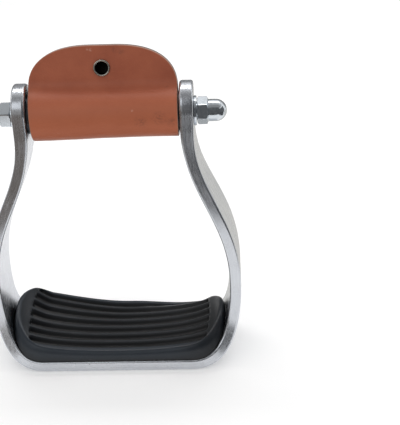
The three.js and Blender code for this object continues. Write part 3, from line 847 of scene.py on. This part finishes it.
# %% Where each point of the frame is along the bar
def own_points(piece):
    points = np.zeros(len(piece.data.vertices) * 3, np.float32)
    piece.data.vertices.foreach_get("co", points)
    return points.reshape(-1, 3).astype(float) / MM


def bar_places(points):
    """Along, across and out of the bar, in metres. A quarter of the centre line's points will do."""
    every, batches = slice(None, None, 4), 40
    flat = np.stack([np.abs(points[:, 0]), points[:, 2]], 1)
    nearest = np.concatenate([np.argmin(((some[:, None] - centre_line[every]) ** 2).sum(2), 1)
                              for some in np.array_split(flat, batches)])
    away = flat - centre_line[every][nearest]
    run, rise = heading[every][nearest].T
    out = away[:, 0] * rise - away[:, 1] * run
    along = line_length[every][nearest] * np.sign(points[:, 0])
    return np.stack([along, points[:, 1], out], 1) * MM


store(bar.data, "bar_place", bar_places(own_points(bar)))

# %% Polished aluminium
streak_width, streak_stretch, haze_size = 0.8 * MM, 40, 9 * MM
pit_spacing, pit_size, pit_soft_size, rare_share = 5 * MM, 0.22 * MM, 0.352 * MM, 0.72
aluminium, tree, shader, object_place = new_material("polished_cast_aluminium", Metallic=1,
                                                     Roughness=0.15)
bar_place = add(tree, "Attribute", attribute_name="bar_place").outputs["Vector"]
streak_place = add(tree, "VectorMath", {0: bar_place, 1: (1 / streak_stretch, 1, 1)},
                   operation="MULTIPLY")
streaks = add(tree, "TexNoise", {"Vector": streak_place, "Scale": 1 / streak_width,
                                 "Detail": 3, "Roughness": 0.6})
haze = add(tree, "TexNoise", {"Vector": object_place, "Scale": 1 / haze_size, "Detail": 2})
buffed = add(tree, "MapRange", {"Value": haze, "From Min": 0.35, "From Max": 0.7,
                                "To Min": 0.18, "To Max": 0.26})
streaked = add(tree, "MapRange", {"Value": streaks, "From Min": 0.3, "From Max": 0.75,
                                  "To Min": 0.0, "To Max": 0.1})
roughness = add(tree, "Math", {0: buffed.outputs[0], 1: streaked.outputs[0]}, operation="ADD")
tone = add(tree, "MixRGB", {"Fac": streaks.outputs["Fac"], "Color1": "#b9bcc2", "Color2": "#dfe2e7"})

pits = add(tree, "TexVoronoi", {"Vector": object_place, "Scale": 1 / pit_spacing, "Randomness": 1})
pit = add(tree, "MapRange", {"Value": pits.outputs["Distance"], "From Min": pit_size / pit_spacing,
                             "From Max": pit_soft_size / pit_spacing, "To Min": 1, "To Max": 0})
rare = add(tree, "Math", {0: pits.outputs["Color"], 1: rare_share}, operation="GREATER_THAN")
pitted = add(tree, "Math", {0: pit.outputs[0], 1: rare}, operation="MULTIPLY")
colour = add(tree, "MixRGB", {"Fac": pitted, "Color1": tone, "Color2": "#55565a"})
streak_bump = add(tree, "Bump", {"Height": streaks.outputs["Fac"], "Strength": 0.12,
                                 "Distance": 0.02 * MM})
pit_bump = add(tree, "Bump", {"Height": pitted, "Strength": 0.6, "Distance": 0.1 * MM,
                              "Normal": streak_bump}, invert=True)
connect(shader, Base_Color=colour, Roughness=roughness, Normal=pit_bump)

# %% [markdown]
# ### Moulded rubber
#
# The pad is black nitrile rubber from a sand-blasted mould, so it has a fine matt grain and a
# soft broad gloss. Boots have rubbed its border and the crowns of its ribs greyer. The same grey
# also paints light: a sheen on the border, and the floor's reflection on the wall, which fades to
# painted shade at its foot. The grooves stay black as painted shade, and the right end is painted
# darker as shade. How grey each point is was stored with the pad's points.

# %% Black rubber
rubber_grain, bloom_size = 0.35 * MM, 12 * MM
rubber, tree, shader, object_place = new_material("moulded_black_rubber", Specular_IOR_Level=0.4)
grain = add(tree, "TexNoise", {"Vector": object_place, "Scale": 1 / rubber_grain,
                               "Detail": 3, "Roughness": 0.6})
bloom = add(tree, "TexNoise", {"Vector": object_place, "Scale": 1 / bloom_size,
                               "Detail": 4, "Roughness": 0.6})
worn = add(tree, "Attribute", attribute_name="worn").outputs["Fac"]
# Black where the grooves hold painted shade, grey where wear, painted sheen and painted reflection
# lighten the rubber.
black = add(tree, "MixRGB", {"Fac": bloom.outputs["Fac"], "Color1": "#020304", "Color2": "#050609"})
grey = add(tree, "MixRGB", {"Fac": bloom.outputs["Fac"], "Color1": "#20272f", "Color2": "#2a323b"})
greyed = add(tree, "MixRGB", {"Fac": worn, "Color1": black, "Color2": grey})
gloss = add(tree, "MapRange", {"Value": bloom, "From Min": 0.3, "From Max": 0.7,
                               "To Min": 0.3, "To Max": 0.42})
bumps = add(tree, "Bump", {"Height": grain.outputs["Fac"], "Strength": 0.25, "Distance": 0.06 * MM})
connect(shader, Base_Color=greyed, Roughness=gloss, Normal=bumps)

# %% [markdown]
# ### Oiled saddle leather
#
# Vegetable tanned cowhide, dyed chestnut and oiled. Its grain side has shallow pores and fine
# wrinkles of a millimetre or two, and the dye is a little blotchy. The loop is paler, partly
# because the leather is stretched there and partly as painted light where it turns up to the
# lamp. Where the strip is cut, the front flap's raw edge shows paler fibres, and the back flap's
# edge is painted dark as shade. Handling has left dark smudges and pale scuffs, each given by
# its place on the flap or the loop and its size: spots whose borders are made ragged by noise.

# %% Marks of use on the leather
ragged_size = 1.1 * MM


def on_flap(x, height):
    return leaning([(x, -flap_middle - leather / 2, height)])[0]


def on_loop(x, degrees):
    radius, turn = loop_radius + leather / 2, math.radians(degrees)
    return leaning([(x, -radius * math.cos(turn), radius * math.sin(turn))])[0]


smudges = [(on_flap(7, 31.8), 2.6), (on_flap(10, 30.2), 2), (on_loop(31.5, 78), 2.2),
           (on_flap(34, 25), 1.6), (on_loop(28, -6), 4.5), (on_loop(19, -14), 4),
           (on_loop(34, -16), 3.5)]
scuffs = [(on_flap(-5, 31.6), 1.1), (on_flap(-6.6, 31.9), 0.9), (on_loop(-22, -38), 1),
          (on_loop(15, 12), 0.8)]


def marks(tree, place, strength, spots):
    """How strongly a place is marked by spots, each with its middle and its radius in mm."""
    ragged = add(tree, "TexNoise", {"Vector": place, "Scale": 1 / ragged_size,
                                    "Detail": 4, "Roughness": 0.7})
    patchy = add(tree, "MapRange", {"Value": ragged, "From Min": 0.42, "From Max": 0.62})
    total = 0
    for middle, radius in spots:
        distance = add(tree, "VectorMath", {0: place, 1: tuple(middle * MM)}, operation="DISTANCE")
        near = add(tree, "MapRange", {"Value": distance.outputs["Value"],
                                      "From Min": radius * MM, "From Max": 0})
        total = add(tree, "Math", {0: near, 1: total}, operation="ADD")
    marked = add(tree, "Math", {0: total, 1: patchy}, operation="MULTIPLY")
    return add(tree, "Math", {0: marked, 1: strength}, operation="MULTIPLY", use_clamp=True)


# %% Chestnut leather
pore_size, wrinkle_size, blotch_size = 0.7 * MM, 1.6 * MM, 22 * MM
smudge_strength, scuff_strength = 0.55, 0.8
leather_hide, tree, shader, object_place = new_material(
    "oiled_saddle_leather", Roughness=0.5, Specular_IOR_Level=0.4, Sheen_Weight=0.15,
    Sheen_Roughness=0.35)
pores = add(tree, "TexVoronoi", {"Vector": object_place, "Scale": 1 / pore_size}, feature="SMOOTH_F1")
wrinkles = add(tree, "TexNoise", {"Vector": object_place, "Scale": 1 / wrinkle_size,
                                  "Detail": 5, "Roughness": 0.65})
blotches = add(tree, "TexNoise", {"Vector": object_place, "Scale": 1 / blotch_size,
                                  "Detail": 5, "Roughness": 0.6})
uneven = add(tree, "MapRange", {"Value": blotches, "From Min": 0.2, "From Max": 0.8})
dye = add(tree, "MixRGB", {"Fac": uneven, "Color1": "#93462a", "Color2": "#ad5d3d"})
wear = add(tree, "SeparateXYZ", {0: add(tree, "Attribute", attribute_name="wear").outputs["Vector"]})
# The loop paler: stretched leather and painted light.
paler = add(tree, "MixRGB", {"Fac": wear.outputs["Z"], "Color1": dye, "Color2": "#b2623f"})
pale_edged = add(tree, "MixRGB", {"Fac": wear.outputs["X"], "Color1": paler, "Color2": "#ad8370"})
# The back flap's raw edge is painted dark grey as shade.
back_edge_painted_shade = add(tree, "MixRGB", {"Fac": wear.outputs["Y"], "Color1": pale_edged, "Color2": "#5a5350"})
smudge = marks(tree, object_place, smudge_strength, smudges)
smudged = add(tree, "MixRGB", {"Fac": smudge, "Color1": back_edge_painted_shade, "Color2": "#5d3527"})
scuff = marks(tree, object_place, scuff_strength, scuffs)
scuffed = add(tree, "MixRGB", {"Fac": scuff, "Color1": smudged, "Color2": "#c99a86"})
grain_height = add(tree, "Math", {0: pores.outputs["Distance"], 1: wrinkles.outputs["Fac"]},
                   operation="ADD")
grain_bump = add(tree, "Bump", {"Height": grain_height, "Strength": 0.6, "Distance": 0.1 * MM})
connect(shader, Base_Color=scuffed, Normal=grain_bump)

# %% [markdown]
# ### Bright zinc, nickel and plain aluminium
#
# Zinc plating is a thin bright layer over steel: bluish, glossy, and faintly cloudy where the
# bath left it uneven. Nickel is warmer. The sleeve is plain drawn aluminium tube, coloured dark
# grey as painted shade for the gaps beside the wrap, and the inside of the eyelet is painted
# black as the shade in its closed hole.

# %% Small metal parts
def plated(name, light, dark, roughness, cloud):
    metal, tree, shader, object_place = new_material(name, Metallic=1, Roughness=roughness)
    clouds = add(tree, "TexNoise", {"Vector": object_place, "Scale": 1 / cloud,
                                    "Detail": 4, "Roughness": 0.6})
    colour = add(tree, "MixRGB", {"Fac": clouds.outputs["Fac"], "Color1": dark, "Color2": light})
    hazy = add(tree, "MapRange", {"Value": clouds, "From Min": 0.3, "From Max": 0.7,
                                  "To Min": roughness * 0.7, "To Max": roughness * 1.4})
    dents = add(tree, "Bump", {"Height": clouds.outputs["Fac"], "Strength": 0.1,
                               "Distance": 0.05 * MM})
    connect(shader, Base_Color=colour, Roughness=hazy, Normal=dents)
    return metal


bright_zinc = plated("bright_zinc_plated_steel", "#dfe5ea", "#c6ccd2", 0.16, 1.2 * MM)
nickel = plated("nickel_plated_brass", "#c4bfb6", "#a8a399", 0.22, 0.8 * MM)
# Painted shade: the sleeve is a dark grey for the shade in the gaps beside the wrap.
sleeve_painted_shade = plated("sleeve_tube_painted_shade", "#55575a", "#45474a", 0.42, 0.5 * MM)
# Painted shade: the eyelet's bore is coloured black for the shade inside its closed hole.
bore_painted_shade = plated("eyelet_bore_painted_shade", "#1c1b1a", "#121110", 0.5, 0.5 * MM)

# %% [markdown]
# ## The sleeve
#
# A tube on the bolt carries the leather and keeps the ears apart. It shows only in the narrow
# gaps beside the wrap, and when the wrap has swung away from them, so it is one turned profile
# with its edges broken.

# %% Sleeve on the bolt
sleeve_half, sleeve_radius, broken_edge = 38, 9.8, 0.3
half_sleeve = [(sleeve_half - broken_edge, sleeve_radius), (sleeve_half, sleeve_radius - broken_edge),
               (sleeve_half, bolt_hole_radius)]
sleeve_profile = [*((-along, radius) for along, radius in half_sleeve[::-1]), *half_sleeve,
                  (-sleeve_half, bolt_hole_radius)]
sleeve = make_piece("turned_sleeve", *skin(turned(sleeve_profile, 96, "x", bolt_middle)))

# %% [markdown]
# ## Each piece on its body
#
# Now each piece gets its material and rides on the body that it belongs to: the sleeve turns,
# the wrap swings with its eyelet, and the rest is the stirrup. It also says which node of the
# frame it stands for. The bolt and the pad's nuts have no fine form of their own, so the
# frame's own solids stay and get the same zinc.

# %% Fitting the pieces
nut_turns, screw_turn = {"right": -15, "left": 9}, 0.7  # screw by screw, in radians
bore_margin, bore_front, bore_back = 0.05, -2.9, 3
fit(sleeve, "sleeve", "plain_aluminium", sleeve_painted_shade, "bolt_sleeve")
fit(bar, "stirrup", "polished_aluminium", aluminium, "frame")
fit(pad, "stirrup", "black_rubber", rubber, "tread_pad")
fit(wrap, "wrap", "saddle_leather", leather_hide, "leather_wrap")
fit(eyelet, "wrap", "nickel_brass", nickel, "eyelet")
# The faces inside the bore get the black of painted shade.
eyelet.data.materials.append(bore_painted_shade)
for face in eyelet.data.polygons:
    x, y, z = Vector(face.center) / MM - Vector(bolt_middle)
    along_tube = y * math.cos(wrap_lean) + z * math.sin(wrap_lean)
    from_axis = math.hypot(x, z * math.cos(wrap_lean) - y * math.sin(wrap_lean) - eyelet_height)
    in_bore = from_axis < eyelet_bore + bore_margin and bore_front < along_tube < bore_back
    face.material_index = int(in_bore)
sides = {"right": 1, "left": -1}
for name, side in sides.items():
    corner_angle = math.radians(90 + nut_turns[name])
    nut = make_piece("domed_nut_" + name, *skin(acorn_nut(side, corner_angle)), crease=30)
    fit(nut, "stirrup", "bright_zinc_steel", bright_zinc, "acorn_nut_" + name)
for name, side in sides.items():
    ring = make_piece("pressed_washer_" + name, *skin(washer(side)), crease=40)
    fit(ring, "stirrup", "bright_zinc_steel", bright_zinc, "washer_" + name)
for number, (x, y) in enumerate(screw_places, start=1):
    screw_rings = pad_screw(x, y, screw_turn * number)
    screw = make_piece(f"cross_screw_{number}", *skin(screw_rings), crease=40)
    fit(screw, "stirrup", "bright_zinc_steel", bright_zinc, f"pad_screw_{number}")

for name in ("crossbar_bolt", *(f"pad_nut_{number}" for number in range(1, 5))):
    hidden_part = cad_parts[name]
    hidden_part.data.materials.clear()
    hidden_part.data.materials.append(bright_zinc)

# %% [markdown]
# ## The stage
#
# The photograph was taken on white paper, in soft light from above. Polished metal looks like
# what it reflects, so its surroundings matter as much as the lamps: the dark edges of the legs
# are the unlit room behind the camera, and the bright patches on the left ear are a window
# there. A photographer sets up cards for this. So does this stage, and only mirror-like rays
# find its cards, which keeps the even light on leather and rubber as it is.

# %% Floor and background
view = bpy.context.scene.view_settings
view.view_transform = "Standard"
world = bpy.data.worlds.new("studio")
bpy.context.scene.world = world
world.use_nodes = True
tree = world.node_tree


def seen_directly(tree):
    """1 for rays from the camera, from a mirror or through glass: they find a white background."""
    seen = 0
    path = add(tree, "LightPath")
    for kind in ("Is Camera Ray", "Is Glossy Ray", "Is Transmission Ray"):
        seen = add(tree, "Math", {0: path.outputs[kind], 1: seen}, operation="MAXIMUM")
    return seen


room_light, paper_glow = 0.77, 0.21
strength = add(tree, "MapRange", {"Value": seen_directly(tree), "To Min": room_light, "To Max": 1})
background = tree.nodes["Background"]
background.inputs["Color"].default_value = (1, 1, 1, 1)
connect(background, Strength=strength)


def sheet(name, material, corners):
    mesh = bpy.data.meshes.new(name)
    mesh.from_pydata(corners, [], [range(len(corners))])
    mesh.materials.append(material)
    made = bpy.data.objects.new(name, mesh)
    bpy.context.scene.collection.objects.link(made)
    return made


paper = bpy.data.materials.new("white_paper")
paper.use_nodes = True
tree = paper.node_tree
shader = tree.nodes["Principled BSDF"]
shader.inputs["Base Color"].default_value = linear("#f4f4f4")
shader.inputs["Roughness"].default_value = 0.9
glow = add(tree, "Math", {0: seen_directly(tree), 1: paper_glow}, operation="MULTIPLY")
shining = add(tree, "Emission", {"Color": (1, 1, 1, 1), "Strength": glow})
connect(tree.nodes["Material Output"], Surface=add(tree, "AddShader", {0: shader, 1: shining}))


def level(z, left, right, near, far):
    return [(left, near, z), (right, near, z), (right, far, z), (left, far, z)]


floor_half, below = 3, -0.06 * MM
sheet("floor", paper, level(below, -floor_half, floor_half, -floor_half, floor_half))

# %% [markdown]
# The room is a box of cards, a metre from the stirrup on every side. The floor beside it is
# covered too, except for the paper that it stands on. Each card has a brightness, and sizes in
# metres.

# %% Cards that only the metal sees
front_wall, ceiling_height = -0.95, 0.92


def reflected_card(name, colour, brightness, corners):
    material = bpy.data.materials.new(name)
    material.use_nodes = True
    tree = material.node_tree
    shining = add(tree, "Emission", {"Color": colour, "Strength": brightness})
    connect(tree.nodes["Material Output"], Surface=shining)
    made = sheet(name, material, corners)
    made.visible_camera = made.visible_diffuse = made.visible_transmission = made.visible_shadow = False


def wall(left, right, low, high, y=front_wall):
    return [(left, y, low), (right, y, low), (right, y, high), (left, y, high)]


def side_wall(x, near, far, high):
    return [(x, near, 0), (x, far, 0), (x, far, high), (x, near, high)]


def on_floor(*corners):
    return [(x, y, MM) for x, y in corners]


white, cool, warm = "#ffffff", "#f0f2f5", "#f2efec"
reflected_card("ceiling_above", white, 0.5, level(ceiling_height, -1, 1, -0.16, 0.2))
reflected_card("ceiling_in_front", white, 0.3, level(ceiling_height, -1, 1, -0.65, -0.16))
reflected_card("ceiling_behind_left", white, 0.35, level(ceiling_height, -1, -0.1, 0.4, 1.2))
reflected_card("ceiling_behind_right", white, 0.95, level(ceiling_height, -0.1, 1, 0.4, 1.2))
reflected_card("room_behind", white, 0.28, wall(-1.1, 1.1, 0, 0.7, 0.75))
reflected_card("window", "#fbfdff", 1.25, wall(-1.1, -0.1, 0.48, 1.3))
reflected_card("room_left", warm, 0.42, wall(-1.1, -0.1, 0, 0.48))
reflected_card("room_right", cool, 0.12, wall(-0.1, 1.1, 0, 1.3))
reflected_card("side_left", warm, 0.35, side_wall(-0.95, -0.95, 0.1, 0.7))
reflected_card("side_right", cool, 0.15, side_wall(0.95, -0.95, 0.1, 0.7))
reflected_card("cloth_behind", "#faf8f2", 0.78, level(MM, 0.03, 0.95, 0.04, 0.7))
reflected_card("cloth_left", "#f5e6da", 0.2, on_floor(
    (-0.95, 0.1), (-0.95, -0.95), (-0.02, -0.95), (-0.02, -0.204), (-0.16, -0.15), (-0.16, 0.1)))
reflected_card("cloth_right", "#eef0f4", 0.1, on_floor(
    (-0.02, -0.95), (0.95, -0.95), (0.95, -0.02), (0.2, -0.02), (0.2, -0.287), (-0.02, -0.204)))

# %% [markdown]
# One long soft lamp hangs above and a little behind. It lights the leather evenly from the top
# and lets the folded loop and the grooves of the pad shade themselves.

# %% Lamp
lamp_data = bpy.data.lights.new("overhead", "AREA")
lamp_data.shape = "RECTANGLE"
lamp_data.size, lamp_data.size_y, lamp_data.energy = 0.9, 0.16, 2.1
lamp = bpy.data.objects.new("overhead", lamp_data)
lamp.location = (0, 0.30, 0.89)
aim = Vector((0, 0, 0.1)) - lamp.location
lamp.rotation_euler = aim.to_track_quat("-Z", "Y").to_euler()
bpy.context.scene.collection.objects.link(lamp)
